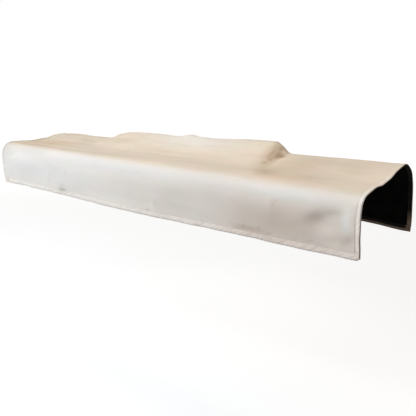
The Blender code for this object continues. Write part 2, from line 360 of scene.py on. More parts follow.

# Marks of tone alone, by their tint: place, x, run, half length, half width, turn and tone.
# They are mostly painted shade, painted light and the lamps' warm and cool colour on the cloth; a few small
# ones are spots.
PAINTED_LIGHT_AND_STAIN_TABLE = {
    Tint.GREY: (
        ("shade of the left end", -700, 270, 68, 130, 0, 0.48),
        ("shade of the left brow", -600, 138, 260, 30, 0, 0.2),
        ("shade of the dent", 590, 90, 50, 26, 26, 0.4),
        ("end of the dent's shade", 628, 108, 28, 14, 20, 0.22),
        ("shade of the skirt's left end", -695, 125, 80, 80, 0, 0.24),
        ("grey edge of the left end", -697, 120, 170, 8.5, 90, 0.42),
        ("shade under the brow's middle", 170, 98, 220, 36, 0, 0.12),
        ("smudge in the middle", 41, 20, 20, 10, 0, 0.26),
    ),
    Tint.SOIL: (
        ("shade behind the left brow", -450, 172, 500, 30, 0, 0.27),
        ("shade of the left swell", -605, 385, 70, 38, 0, 0.32),
        ("shade of the ridge's left foot", -275, 346, 110, 34, 8, 0.28),
        ("tan by the right end", 560, 345, 120, 70, 0, 0.14),
        ("shade before the ridge", -130, 332, 150, 28, 0, 0.13),
        ("shade behind it", 460, 350, 90, 90, 80, 0.15),
        ("slanted shade by the corner", 668, 45, 35, 14, 40, 0.22),
    ),
    Tint.OLIVE: (
        ("shade behind the pucker", 374, 384, 16, 12, 60, 0.28),
        ("shade of the gather", 333, 362, 82, 42, 80, 0.48),
        ("stain under the gather", 382, 250, 105, 56, -52, 0.46),
        ("mark in the left corner", -680, 12, 18, 14, 0, 0.44),
    ),
    Tint.OCHRE: (
        ("tan of the right top", 415, 318, 130, 95, 0, 0.2),
        ("tan of the right brow", 505, 215, 100, 60, 0, 0.14),
        ("shade of the left top", -575, 240, 230, 120, 0, 0.38),
        ("stain by the right brow", 445, 225, 120, 90, -20, 0.22),
    ),
    Tint.WARM: (
        ("rosy patch of the left top", -555, 245, 60, 30, -30, 0.12),
        ("rosy patch of the left back", -600, 342, 85, 30, 0, 0.13),
        ("shade over the hem", 395, 25, 80, 14, 0, 0.34),
        ("warmth of the lower right skirt", 490, 58, 270, 85, 2, 0.33),
    ),
    Tint.RUST: (
        ("knot of the corner", 689.5, 21, 6, 5, 0, 0.4),
    ),
    Tint.PALE: (
        ("pale right edge", 700, 230, 230, 20, 90, 0.6),
        ("pale ridge", 30, 392, 330, 80, 0, 0.55),
        ("light crescent by the dent", 667, 90, 50, 19, 88, 0.45),
        ("light of the right brow", 520, 134, 220, 28, 0, 0.36),
    ),
    Tint.COOL: (
        ("coolness of the upper skirt", -50, 135, 650, 36, 0, 0.26),
        ("coolness of the left skirt", -500, 75, 600, 90, 0, 0.26),
        ("coolness of the ridge", 10, 385, 330, 70, 0, 0.22),
    ),
    Tint.LIGHT: (
        ("light over the pucker", 354, 394, 11, 8, 50, 0.85),
        ("light of the right corner", 640, 44, 45, 36, 0, 0.6),
        ("light by the right end", 692, 80, 30, 40, 0, 0.6),
        ("light of the right hem", 693, 45, 100, 16, 90, 0.7),
        ("light of the right end", 700, 285, 110, 130, 0, 0.5),
        ("light over the hem", -50, 20, 340, 34, 0, 0.4),
        ("light of the right top", 640, 240, 110, 110, 0, 0.26),
        ("light over the right hem", 625, 30, 55, 16, 0, 0.55),
    ),
}
PAINTED_LIGHT_AND_STAINS = tuple(Fold(*row[:-1], 0.0, row[-1], tint) for tint, rows in PAINTED_LIGHT_AND_STAIN_TABLE.items() for row in rows)


@dataclass(frozen=True)
class Ripple:
    """Slow unevenness of the cloth: its size along x and across it, its height and its reach."""

    along: float
    across: float
    height_mm: float
    seed: float
    reach: float = 1.0

    def lift(self, x: Array, run: Array, away: Array | float = 0.0) -> Array:
        """Return the lift at each place of the cloth.

        Args:
            x: Each place's x.
            run: Each place's run along the cloth.
            away: Each place's distance from where the ripple is full; it fades by reach.

        Returns:
            The lifts, in metres.
        """
        places = zip(np.ravel(x) / self.along, np.ravel(run) / self.across)
        values = np.array([noise.noise((*place, self.seed)) for place in places])
        return values.reshape(np.shape(x)) * self.height_mm * MM * np.exp(-away / self.reach)


@dataclass(frozen=True)
class HemPlan:
    """A turned hem: how its face and its thickness change, in mm, from the edge inwards."""

    width: float
    stitch_line: float
    face: Profile
    thickness: Profile


EDGE_HEM = HemPlan(
    width=0.0175,
    stitch_line=0.0150,
    face=Profile(
        (0.0, -0.90), (0.0005, -0.25), (0.0013, 0.45), (0.0045, 1.25),
        (0.0120, 0.50), (0.0138, 0.25), (0.0150, -0.05), (0.0205, 0.0),
    ),
    thickness=Profile(
        (0.0, 1.1), (0.0005, 2.3), (0.0013, 3.1), (0.0045, 3.5), (0.0120, 3.5),
        (0.0150, 2.3), (0.0163, 2.9), (0.0173, 2.9), (0.0179, 1.6),
    ),
)
SLIT_HEM = HemPlan(
    width=0.0075,
    stitch_line=0.0052,
    face=Profile(
        (0.0, -0.75), (0.0005, -0.25), (0.0013, 0.20), (0.0035, 0.45),
        (0.0052, -0.35), (0.0066, 0.10), (0.0100, 0.0),
    ),
    thickness=Profile(
        (0.0, 1.0), (0.0005, 2.1), (0.0013, 2.8), (0.0035, 3.0),
        (0.0052, 2.1), (0.0066, 2.5), (0.0075, 2.5), (0.0080, 1.6),
    ),
)
THICKEST_MM = 3.5
THINNEST_MM = 1.0

# Width of the hems at the two ends, as a share of the long hems' width.
END_HEM_SHARE = 0.68

# How far in from the long hems the finish takes the slit's edge to lie.
SLIT_AS_EDGE = 0.010
# How far past its hems the reverse keeps their finish, at the edges and at the slit.
EDGE_TURN_SLACK = 0.0005
SLIT_TURN_SLACK = 0.0006

# Grid lines at the hems, as distances from their edges.
HEM_LINES = (0.0, 0.0005, 0.0013, 0.0045, 0.0082, 0.0120, 0.0138, 0.0150, 0.0163, 0.0173, 0.0179, 0.0205)
SLIT_LINES = (0.0, 0.0005, 0.0013, 0.0024, 0.0035, 0.0052, 0.0066, 0.0075, 0.0080, 0.0100)

# The cells' length, in mm, against x.
CELL_LENGTH = Profile(
    (-0.678, 3.5), (-0.640, 7.5), (-0.340, 6.0), (-0.300, 1.8), (-0.280, 2.4), (-0.240, 7.0), (0.270, 6.5),
    (0.312, 1.8), (0.335, 2.2), (0.370, 3.0), (0.430, 7.0), (0.640, 7.0), (0.678, 3.5),
)


@dataclass
class ClothForm:
    """The draped shape of the sheet, read from its tables."""

    folds: Sequence[Fold] = MAIN_FOLDS
    fine_folds: Sequence[Fold] = (*FINE_FOLDS, *PAINTED_LIGHT_AND_STAINS)
    ripples: Sequence[Ripple] = (
        Ripple(0.170, 0.085, 1.8, 3.7),
        Ripple(0.075, 0.050, 0.8, 11.3),
        Ripple(0.030, 0.024, 0.25, 23.9),
    )
    flutter: Ripple = Ripple(0.060, 0.052, 3.2, 41.7, reach=0.030)
    seam_pull: Ripple = Ripple(0.010, 0.010, 0.9, 57.1, reach=0.008)
    sway: Ripple = Ripple(0.5, 0.055, 2.4, 71.3, reach=0.040)
    slit_half: float = 0.0095
    slit_closed: float = 0.0003
    slit_reach: float = 0.040
    slit_hem_reach: float = 0.0180

    def table_rows(self, x: Array) -> Array:
        """Return depth and height of every table row at each x, in metres."""
        right = (0.5 + x / LENGTH)[:, None]
        table = np.array(list(SECTION.values()), dtype=float).T
        depth = table[0] + (table[2] - table[0]) * right
        height = table[1] + (table[3] - table[1]) * right
        back = np.array([name.startswith("back") for name in SECTION])
        wave = np.where(back, BACK_HEM_WAVE.read(x)[:, None], FRONT_HEM_WAVE.read(x)[:, None])
        fade = smooth(1.0 - height / HEM_WAVE_REACH_MM)
        return np.stack((depth, height + wave * fade), axis=2) * MM

    def row_places(self) -> Array:
        """Return the run of every table row along the cloth at mid-length."""
        return run_along(self.table_rows(np.zeros(1))[0])

    @property
    def slit_middle(self) -> float:
        """The run of the slit's middle line."""
        names, places = list(SECTION), self.row_places()
        edges = [places[names.index(f"slit {side} edge")] for side in ("front", "back")]
        return 0.5 * float(sum(edges))

    def past_slit(self, x: Array) -> Array:
        """Return how far x lies past the centres of the slit's rounded ends."""
        half = (SLIT_RIGHT - SLIT_LEFT) / 2 - self.slit_half
        return np.maximum(np.abs(x - (SLIT_LEFT + SLIT_RIGHT) / 2) - half, 0.0)

    def opening(self, x: Array) -> Array:
        """Return half the slit's width at each x; hardly open past its ends."""
        past = np.minimum(self.past_slit(x), self.slit_half)
        return np.maximum(np.sqrt(self.slit_half**2 - past**2), self.slit_closed)

    def bent_rows(self, x: Array, places: Array) -> Array:
        """Let the rows near the slit follow its rounded outline.

        Args:
            x: The x of each column.
            places: The run of each row beside the open slit.

        Returns:
            The run of each row at each column.
        """
        away = places - self.slit_middle
        past_hem = (np.abs(away) - self.slit_hem_reach) / (self.slit_reach - self.slit_hem_reach)
        inward = (self.slit_half - self.opening(x))[:, None]
        return self.slit_middle + away - np.sign(away) * inward * (1.0 - smooth(past_hem))

    def base(self, x: Array, places: Array) -> tuple[Array, Array]:
        """Read the plain section on smooth curves through its table rows.

        Args:
            x: The x of each column.
            places: The run of each row at each column.

        Returns:
            Depth and height at each row and column, and the cloth's heading there.
        """
        line = np.interp(places, self.row_places(), np.arange(len(SECTION)))
        points, headings = np.zeros((2, *places.shape, 2))
        for column, rows in enumerate(self.table_rows(x)):
            run = run_along(rows)
            slopes = np.gradient(rows, run, axis=0)
            low = np.clip(np.floor(line[column]).astype(int), 0, len(rows) - 2)
            share = (line[column] - low)[:, None]
            chord = np.diff(run)[low][:, None]
            leaving, arriving = slopes[low], slopes[low + 1]
            start = 2 * share**3 - 3 * share**2 + 1
            points[column] = start * rows[low] + (1 - start) * rows[low + 1] + chord * (
                (share**3 - 2 * share**2 + share) * leaving + (share**3 - share**2) * arriving
            )
            headings[column] = (
                (6 * share**2 - 6 * share) * (rows[low] - rows[low + 1]) / chord
                + (3 * share**2 - 4 * share + 1) * leaving
                + (3 * share**2 - 2 * share) * arriving
            )
        return points, headings / np.linalg.norm(headings, axis=2)[:, :, None]

    def lay(self, x: Array, places: Array) -> "LaidCloth":
        """Lay the sheet's outer face.

        Args:
            x: The x of each column.
            places: The run of each row beside the open slit.

        Returns:
            The points of the outer face with what the finish needs to know there.
        """
        rows = self.bent_rows(x, places)
        flat, heading = self.base(x, rows)
        run = run_along(flat, axis=1)
        wide = np.broadcast_to(x[:, None], run.shape)
        lift = RIDGE_CREST.read(x)[:, None] * MM * RIDGE_RAMP.read(flat[:, :, 0])
        fold = sum(each.height * MM * each.share(wide, run) for each in self.folds)
        depth = flat[:, :, 0] - heading[:, :, 1] * fold + RIDGE_LEAN * lift
        height = flat[:, :, 1] + heading[:, :, 0] * fold + lift
        swing = LEFT_FLARE.read(run) * smooth(1.0 - (wide - x[0]) / FLARE_REACH) * MM
        points = np.stack((wide - swing, depth - ORIGIN_DEPTH, height - ORIGIN_HEIGHT), axis=2)
        cloth = LaidCloth(self, wide, rows, run, heading[:, :, 0], points)
        cloth.add_fine_relief()
        return cloth


@dataclass
class LaidCloth:
    """The outer face on its grid: columns along x, rows from hem to hem."""

    form: ClothForm
    x: Array
    rows: Array
    run: Array
    level: Array
    points: Array
    from_end: Array = field(init=False)
    long_hem: Array = field(init=False)
    edge: Array = field(init=False)
    slit: Array = field(init=False)
    stain_and_painted_light: Array = field(init=False)

    def __post_init__(self) -> None:
        """Measure every place's distance to the hems and to the slit."""
        self.from_end = np.minimum(self.x - self.x[0, 0], self.x[-1, 0] - self.x)
        self.long_hem = np.minimum(self.run, self.run[:, -1:] - self.run)
        self.edge = np.minimum(self.from_end / END_HEM_SHARE, self.long_hem)
        from_middle = np.hypot(self.form.past_slit(self.x), self.rows - self.form.slit_middle)
        self.slit = np.maximum(from_middle - self.form.slit_half, 0.0)
        self.stain_and_painted_light = np.ones(self.x.shape + (3,))

    def masks(self) -> dict[str, Array]:
        """Return the values that the finish reads at every point, by name."""
        # The top's painted light follows how level the cloth is on the back bend.
        levelled = smooth((self.level - BACK_TOP_LEVEL) / (1.0 - BACK_TOP_LEVEL))
        behind = np.where(self.run < 0.5 * self.run[:, -1:], 1.0, levelled)
        low_on_end = smooth(1.0 - self.long_hem / SEAM_REACH_UP_THE_END)
        up_the_end = np.where(self.edge < self.long_hem, low_on_end, 1.0)
        return {
            EDGE_MASK: np.minimum(self.edge, self.slit + SLIT_AS_EDGE),
            TOP_MASK: behind * smooth((self.run - TOP_EDGE.read(self.x) * MM) / TOP_EDGE_WIDTH),
            SLIT_MASK: self.slit,
            SEAM_MASK: up_the_end * SEAM_ALONG_THE_HEM.read(self.x),
            LONG_HEM_MASK: self.long_hem,
        }

    def normals(self) -> Array:
        """Return the unit normal at every point, out of the cloth's outer face."""
        along = np.gradient(self.points, axis=0)
        across = np.gradient(self.points, axis=1)
        # The slit parts its two edge rows, so each of them looks to its own side alone.
        front = int(np.searchsorted(self.rows[0], self.form.slit_middle)) - 1
        across[:, front] = self.points[:, front] - self.points[:, front - 1]
        across[:, front + 1] = self.points[:, front + 2] - self.points[:, front + 1]
        normal = np.cross(along, across)
        return normal / np.linalg.norm(normal, axis=2)[:, :, None]

    def thickness(self) -> Array:
        """Return the cloth's thickness at every point, in millimetres."""
        return np.maximum(EDGE_HEM.thickness.read(self.edge), SLIT_HEM.thickness.read(self.slit))

    def add_fine_relief(self) -> None:
        """Add fine folds, slow ripples, hem flutter and the relief of the hems."""
        form = self.form
        place = self.x, self.run
        lift = (EDGE_HEM.face.read(self.edge) + SLIT_HEM.face.read(self.slit)) * MM
        for fold in form.fine_folds:
            share = fold.share(*place)
            lift += fold.height * MM * share
            # Each fold's tone paints shade and light into the cloth's colour, with a few spots.
            self.stain_and_painted_light *= fold.stain_and_painted_light(share)
        for fold in form.folds:
            self.stain_and_painted_light *= fold.stain_and_painted_light(fold.share(*place))
        for ripple in form.ripples:
            lift += ripple.lift(*place)
        lift += form.flutter.lift(*place, self.edge)
        lift += form.seam_pull.lift(*place, np.abs(self.edge - EDGE_HEM.stitch_line))
        self.points = self.points + self.normals() * lift[:, :, None]
        self.points[:, :, 0] += form.sway.lift(*place, self.from_end)

    def flat_places(self) -> Array:
        """Return each point's place on the flat cloth, in metres."""
        along = run_along(self.points, axis=0)
        along -= along[nearest(self.x[:, 0], 0.0)]
        return np.stack((along, run_along(self.points, axis=1)), axis=2)


def graded_places(exact: Sequence[float], cell: Profile) -> Array:
    """Space grid lines between exact places, with cells of a varying size.

    Args:
        exact: Places that each get a line.
        cell: The wanted cell size, in millimetres, against the place in metres.

    Returns:
        All the places, in order.
    """
    places = [exact[0]]
    for low, high in zip(exact, exact[1:]):
        fine = np.linspace(low, high, CELL_SAMPLES)
        density = 1.0 / (cell.read(fine) * MM)
        shares = (density[1:] + density[:-1]) / 2 * np.diff(fine)
        count = np.concatenate(([0.0], np.cumsum(shares)))
        cells = max(int(round(count[-1])), 1)
        wanted = np.linspace(0.0, count[-1], cells + 1)[1:]
        places.extend(np.interp(wanted, count, fine))
    return np.array(places)


class NodeBench:
    """Short ways to add and join shader nodes in one tree."""

    def __init__(self, tree: NodeTree) -> None:
        """Work on one node tree."""
        self.tree = tree

    def feed(self, node: Node, inputs: Inputs) -> None:
        """Link a node's inputs to sockets, or set their values.

        Args:
            node: The node.
            inputs: What goes into each input, by its name or number; a colour has
                three parts and becomes opaque.
        """
        for name, value in inputs.items():
            socket = node.inputs[name]
            if isinstance(value, Socket):
                self.tree.links.new(value, socket)
            else:
                socket.default_value = (*value, 1.0) if socket.type == "RGBA" else value

    def add(self, kind: str, inputs: Inputs | None = None, **values: object) -> Node:
        """Add a node and set its properties and inputs.

        Args:
            kind: The node's type name, without its leading ShaderNode.
            inputs: What goes into its inputs, as in feed.
            values: Properties of the node, by name.

        Returns:
            The new node.
        """
        node = self.tree.nodes.new(kind if kind.startswith("Node") else f"ShaderNode{kind}")
        for name, value in values.items():
            setattr(node, name, value)
        self.feed(node, inputs or {})
        return node

    def math(self, operation: str, *values: object, clamp: bool = False) -> Socket:
        """Add a math node on sockets or numbers and return its result."""
        return self.add("Math", dict(enumerate(values)), operation=operation, use_clamp=clamp).outputs[0]

    def times(self, product: object, *factors: object) -> Socket:
        """Multiply sockets or numbers."""
        for factor in factors:
            product = self.math("MULTIPLY", product, factor)
        return product

    def noise(self, vector: object, factors: Place, detail: float, rough: float) -> Socket:
        """Add a noise texture on a vector times three factors and return its value."""
        places = self.add("VectorMath", {0: vector, 1: factors}, operation="MULTIPLY").outputs[0]
        inputs = {"Vector": places, "Scale": 1.0, "Detail": detail, "Roughness": rough}
        return self.add("TexNoise", inputs).outputs["Fac"]

    def ranged(self, value: object, low: float, high: float, to_low: float, to_high: float) -> Socket:
        """Map a value from one range to another, held to its ends."""
        inputs = dict(enumerate((value, low, high, to_low, to_high)))
        return self.add("MapRange", inputs, clamp=True).outputs[0]

    def mixed(self, share: object, first: object, second: object, blend: str = "MIX") -> Socket:
        """Mix two colours by a share."""
        inputs = {0: share, 6: first, 7: second}
        return self.add("Mix", inputs, data_type="RGBA", blend_type=blend, clamp_factor=True).outputs[2]

    def mask(self, name: str, output: str = "Fac") -> Socket:
        """Return a value, or with output Color a colour, that the mesh carries at its points."""
        return self.add("Attribute", attribute_type="GEOMETRY", attribute_name=name).outputs[output]

    def parts(self, vector: Socket) -> Outputs:
        """Part a vector into its three values."""
        return self.add("SeparateXYZ", {0: vector}).outputs

    def flat_cloth(self) -> Socket:
        """Return the place on the flat cloth, in metres."""
        return self.add("UVMap", uv_map=UV_NAME).outputs[0]

    def bump(self, height: Socket, strength: float, distance: float, **under: Socket) -> Socket:
        """Add a bump, over a Normal if one is given, and return its normal."""
        inputs = {"Height": height, "Strength": strength, "Distance": distance, **under}
        return self.add("Bump", inputs).outputs[0]


def start_group(name: str, inputs: dict[str, str]) -> tuple[NodeBench, Outputs]:
    """Start a shader node group.

    Args:
        name: The group's name.
        inputs: Each input's name and kind, such as Float or Vector.

    Returns:
        The bench of the group's tree and the sockets with what the group is given.
    """
    bench = NodeBench(bpy.data.node_groups.new(name, "ShaderNodeTree"))
    for socket, kind in inputs.items():
        bench.tree.interface.new_socket(name=socket, in_out="INPUT", socket_type=f"NodeSocket{kind}")
    return bench, bench.add("NodeGroupInput").outputs


def end_group(bench: NodeBench, results: dict[str, Socket]) -> NodeTree:
    """Give a shader node group its outputs, each a value, and return its tree."""
    for name in results:
        bench.tree.interface.new_socket(name=name, in_out="OUTPUT", socket_type="NodeSocketFloat")
    bench.add("NodeGroupOutput", results)
    return bench.tree


def plain_weave_group() -> NodeTree:
    """Build the plain weave: threads over and under, uneven as spun yarn.

    Returns:
        The group, with outputs Height from 0 to 1 and Yarn, a slow thread tone.
    """
    bench, given = start_group("plain weave", {"Vector": "Vector", "Pitch": "Float"})
    place, parts = given["Vector"], bench.parts(given["Vector"])
    threads = [bench.math("DIVIDE", parts[axis], given["Pitch"]) for axis in (0, 1)]
    cells = bench.math("ADD", *(bench.math("FLOOR", each) for each in threads))
    over = bench.math("GREATER_THAN", bench.math("PINGPONG", cells, 1.0), 0.5)
    warp, weft = (bench.math("ABSOLUTE", bench.math("SINE", bench.times(each, math.pi))) for each in threads)
    warp_up = bench.times(warp, bench.math("MULTIPLY_ADD", weft, 0.5, 0.5))
    weft_up = bench.times(weft, bench.math("MULTIPLY_ADD", warp, 0.5, 0.5))
    height = bench.math("MULTIPLY_ADD", bench.math("SUBTRACT", warp_up, weft_up), over, weft_up)
    lengthwise = bench.noise(place, (9.0, 620.0, 1.0), 2.0, 0.6)
    crosswise = bench.noise(place, (620.0, 9.0, 1.0), 2.0, 0.6)
    yarn = bench.math("MULTIPLY_ADD", lengthwise, 0.6, bench.times(crosswise, 0.4))
    return end_group(bench, {"Height": height, "Yarn": yarn})


def handling_group() -> NodeTree:
    """Build the marks of use: cloudy tone and hue, wrinkles, streaks and hem roping.

    Returns:
        The group, with outputs Cloud, Streak, Wrinkle, Hue and Roping, each about 0.5.
    """
    bench, given = start_group("handling", {"Vector": "Vector", "Edge": "Float"})
    place, parts = given["Vector"], bench.parts(given["Vector"])
    slant = bench.math("MULTIPLY_ADD", parts[1], -1.6, parts[0])
    slanted = bench.add("CombineXYZ", {0: slant, 1: given["Edge"]}).outputs[0]
    return end_group(bench, {
        "Cloud": bench.noise(place, (5.0, 8.0, 1.0), 4.0, 0.55),
        "Streak": bench.noise(place, (3.2, 34.0, 1.0), 3.0, 0.55),
        "Wrinkle": bench.noise(place, (34.0, 42.0, 1.0), 3.0, 0.5),
        "Hue": bench.noise(place, (13.0, 19.0, 1.0), 2.0, 0.5),
        "Roping": bench.noise(slanted, (84.0, 45.0, 1.0), 2.0, 0.5),
    })


def start_material(name: str) -> tuple[Material, NodeBench, Node]:
    """Make a material; return it with its bench and its Principled node."""
    material = bpy.data.materials.new(name)
    material.use_nodes = True
    return material, NodeBench(material.node_tree), material.node_tree.nodes["Principled BSDF"]


@dataclass(frozen=True)
class ClothFinish:
    """A finish on the woven cloth, built from the two shared groups."""

    name: str
    pitch: float = 0.0010

    def start(
        self, weave: NodeTree, handling: NodeTree
    ) -> tuple[Material, NodeBench, Node, Outputs, Outputs]:
        """Start the material.

        Args:
            weave: The plain weave group.
            handling: The group with the marks of use.

        Returns:
            The material, its bench, its Principled node and the two groups' outputs.
        """
        material, bench, shader = start_material(self.name)
        flat = bench.flat_cloth()
        cloth = bench.add("Group", {"Vector": flat, "Pitch": self.pitch}, node_tree=weave)
        marks = bench.add("Group", {"Vector": flat, "Edge": bench.mask(EDGE_MASK)}, node_tree=handling)
        return material, bench, shader, cloth.outputs, marks.outputs


@dataclass(frozen=True)
class CanvasFinish(ClothFinish):
    """Undyed cream canvas: weave, slubs, cloudy tone, with painted light and shade: the top's warmer colour,
    streaks, the hem bands' highlight and the seam's and edge's shade.
    """

    # Skirt and top are one cloth: the top's darker, warmer colour is painted light.
    skirt: Colour = (0.850, 0.780, 0.716)
    top: Colour = (0.800, 0.685, 0.562)
    streak_shade: Colour = (0.400, 0.290, 0.195)
    hem_shade_colour: Colour = (0.330, 0.262, 0.215)
    edge_shade_colour: Colour = (0.120, 0.096, 0.080)
    band_highlight: Colour = (0.965, 0.862, 0.786)
    rosy: Colour = (1.028, 0.986, 0.985)
    sallow: Colour = (0.985, 1.003, 0.962)
    roughness: float = 0.88
    specular: float = 0.22
    sheen: float = 0.22
    sheen_roughness: float = 0.55
    sheen_tint: Colour = (1.0, 0.96, 0.90)
    seam_shade: float = 0.0185
    weave_depth: float = 0.00010
    wrinkle_depth: float = 0.0010

    def material(self, weave: NodeTree, handling: NodeTree) -> Material:
        """Build the material from the shared weave and handling groups."""
        material, bench, shader, cloth, marks = self.start(weave, handling)
        ranged, mixed, times = bench.ranged, bench.mixed, bench.times
        top = bench.mask(TOP_MASK)
        # Lengthwise streaks of painted shade on the top, as between shallow ridges.
        streaks = times(ranged(marks["Streak"], 0.50, 0.75, 0.0, 0.17), top)
        colour = mixed(streaks, mixed(top, self.skirt, self.top), self.streak_shade)
        cloud = ranged(marks["Cloud"], 0.3, 0.7, 0.955, 1.03)
        yarn = ranged(cloth["Yarn"], 0.3, 0.7, 0.965, 1.03)
        threads = ranged(cloth["Height"], 0.0, 1.0, 0.955, 1.015)
        colour = mixed(1.0, colour, times(cloud, yarn, threads), "MULTIPLY")
        hue = mixed(ranged(marks["Hue"], 0.36, 0.64, 0.0, 1.0), self.rosy, self.sallow)
        colour = mixed(ranged(top, 0.0, 1.0, 0.5, 1.0), colour, hue, "MULTIPLY")
        wrinkles = bench.bump(marks["Wrinkle"], 0.6, self.wrinkle_depth)
        bench.feed(shader, {
            "Base Color": self.shade_hems(bench, marks, colour),
            "Roughness": bench.math("MULTIPLY_ADD", cloth["Yarn"], 0.10, self.roughness - 0.05, clamp=True),
            "Specular IOR Level": self.specular,
            "Sheen Weight": self.sheen,
            "Sheen Roughness": self.sheen_roughness,
            "Sheen Tint": self.sheen_tint,
            "Normal": bench.bump(cloth["Height"], 0.5, self.weave_depth, Normal=wrinkles),
        })
        return material

    def shade_hems(self, bench: NodeBench, marks: Outputs, colour: Socket) -> Socket:
        """Lay on the painted highlight of the hem bands, the painted light and shade with the spots, the
        painted shadow at the seam and the painted shade of the folded edge.

        Args:
            bench: The material's bench.
            marks: The outputs of the handling group.
            colour: The cloth's colour.

        Returns:
            The colour with the hems' own shades.
        """
        ranged, mixed, times = bench.ranged, bench.mixed, bench.times
        edge, seam = bench.mask(EDGE_MASK), bench.mask(SEAM_MASK)
        # Painted highlight on the raised hem bands and round the slit.
        by_hem = times(ranged(edge, 0.0160, 0.0230, 0.92, 0.0), seam)
        by_slit = ranged(bench.mask(SLIT_MASK), 0.0, SLIT_HEM.width, 0.55, 0.0)
        colour = mixed(bench.math("MAXIMUM", by_hem, by_slit), colour, self.band_highlight)
        # Multiply in the folds' painted light and shade and the few spots.
        colour = mixed(1.0, colour, bench.mask(PAINTED_LIGHT_AND_STAIN, "Color"), "MULTIPLY")
        # Painted shadow along the hem's seam, and painted shade in the roping of the hem band.
        roping = ranged(marks["Roping"], 0.44, 0.62, 0.0, 0.22)
        in_band = times(ranged(edge, 0.0150, 0.0220, 1.0, 0.0), roping)
        past = bench.math("SUBTRACT", bench.mask(LONG_HEM_MASK), edge)
        on_end = ranged(past, 0.0005, 0.0030, 0.0, 1.0)
        off_seam = bench.math("ABSOLUTE", bench.math("SUBTRACT", edge, self.seam_shade))
        uneven = ranged(marks["Wrinkle"], 0.40, 0.64, 0.24, 0.74)
        line = times(ranged(off_seam, 0.0008, 0.0034, 1.0, 0.0), uneven, ranged(on_end, 0.0, 1.0, 0.35, 1.0))
        colour = mixed(times(bench.math("MAXIMUM", line, in_band), seam), colour, self.hem_shade_colour)
        # Painted shade along the folded edge of the hems, wider along the ends.
        end_line = times(ranged(edge, 0.0030, 0.0050, 0.85, 0.0), on_end)
        painted_shade = bench.math("MAXIMUM", ranged(edge, 0.0012, 0.0050, 0.26, 0.0), end_line)
        fold = bench.math("MAXIMUM", ranged(edge, 0.0004, 0.0016, 0.85, 0.0), times(painted_shade, seam))
        return mixed(fold, colour, self.edge_shade_colour)


@dataclass(frozen=True)
class TurnedHemFinish(CanvasFinish):
    """The turned-in hems: cream canvas painted as it looks in shade, brown low on the skirts and nearly
    black higher up.
    """

    # The turned hems' brown is painted shade: cream canvas as it looks inside the tunnel.
    skirt: Colour = (0.160, 0.118, 0.085)
    top: Colour = (0.160, 0.118, 0.085)
    band_highlight: Colour = (0.180, 0.135, 0.098)
    # Painted deep shade, nearly black, for the turned hems higher up.
    near_black: Colour = (0.0060, 0.0052, 0.0045)
    sheen: float = 0.01

    def material(self, weave: NodeTree, handling: NodeTree) -> Material:
        """Build the canvas material and darken it above the skirts' lower hems."""
        material = super().material(weave, handling)
        bench, shader = NodeBench(material.node_tree), material.node_tree.nodes["Principled BSDF"]
        from_hem = bench.mask(LONG_HEM_MASK)
        from_middle = bench.math("ABSOLUTE", bench.parts(bench.flat_cloth())[0])
        inner = bench.ranged(from_middle, 0.680, 0.688, 1.0, 0.0)
        inner = bench.times(inner, bench.ranged(from_hem, 0.006, 0.009, 0.0, 1.0))
        # Painted deep shade above the lowest turned hems; low down at the ends the brown painted shade
        # stays.
        high = bench.math("MAXIMUM", inner, bench.ranged(from_hem, 0.030, 0.062, 0.0, 1.0))
        painted_shade = shader.inputs["Base Color"].links[0].from_socket
        bench.feed(shader, {"Base Color": bench.mixed(high, painted_shade, self.near_black)})
        return material


@dataclass(frozen=True)
class ReverseFinish(ClothFinish):
    """The dark coated reverse: nearly black, with the weave showing faintly through."""

    deep: Colour = (0.0020, 0.0020, 0.0020)
    rubbed: Colour = (0.0075, 0.0070, 0.0066)
    specular: float = 0.06
    weave_depth: float = 0.00008

    def material(self, weave: NodeTree, handling: NodeTree) -> Material:
        """Build the material from the shared weave and handling groups."""
        material, bench, shader, cloth, marks = self.start(weave, handling)
        rubbed = bench.ranged(marks["Wrinkle"], 0.45, 0.75, 0.0, 0.8)
        bench.feed(shader, {
            "Base Color": bench.mixed(rubbed, self.deep, self.rubbed),
            "Roughness": bench.ranged(marks["Cloud"], 0.3, 0.7, 0.78, 0.90),
            "Specular IOR Level": self.specular,
            "Normal": bench.bump(cloth["Height"], 0.4, self.weave_depth),
        })
        return material


@dataclass(frozen=True)
class ThreadFinish:
    """Twisted sewing thread, a little lighter than the cloth."""

    name: str
    light: Colour = (0.90, 0.84, 0.77)
    dark: Colour = (0.70, 0.62, 0.53)
    fibres: Place = (1400.0, 1400.0, 1400.0)
    twist_depth: float = 0.00006
    sheen: float = 0.2

    def material(self) -> Material:
        """Build the material: fine fibre streaks and a soft gloss."""
        material, bench, shader = start_material(self.name)
        place = bench.add("TexCoord").outputs["Object"]
        twist = bench.noise(place, self.fibres, 2.0, 0.6)
        bench.feed(shader, {
            "Base Color": bench.mixed(bench.ranged(twist, 0.4, 0.65, 0.0, 1.0), self.light, self.dark),
            "Roughness": bench.ranged(twist, 0.3, 0.7, 0.50, 0.72),
            "Sheen Weight": self.sheen,
            "Normal": bench.bump(twist, 0.5, self.twist_depth),
        })
        return material


def deselect_all() -> None:
    """Leave nothing selected, so that an operator acts on the new piece alone."""
    bpy.ops.object.select_all(action="DESELECT")


def take(piece: Piece) -> None:
    """Select one piece alone and make it the active one."""
    deselect_all()
    piece.select_set(True)
    bpy.context.view_layer.objects.active = piece


def store(data: object, name: str, values: Array) -> None:
    """Store values by column and row in the order of the grid's points."""
    data.foreach_set(name, values.swapaxes(0, 1).astype(np.float32).ravel())


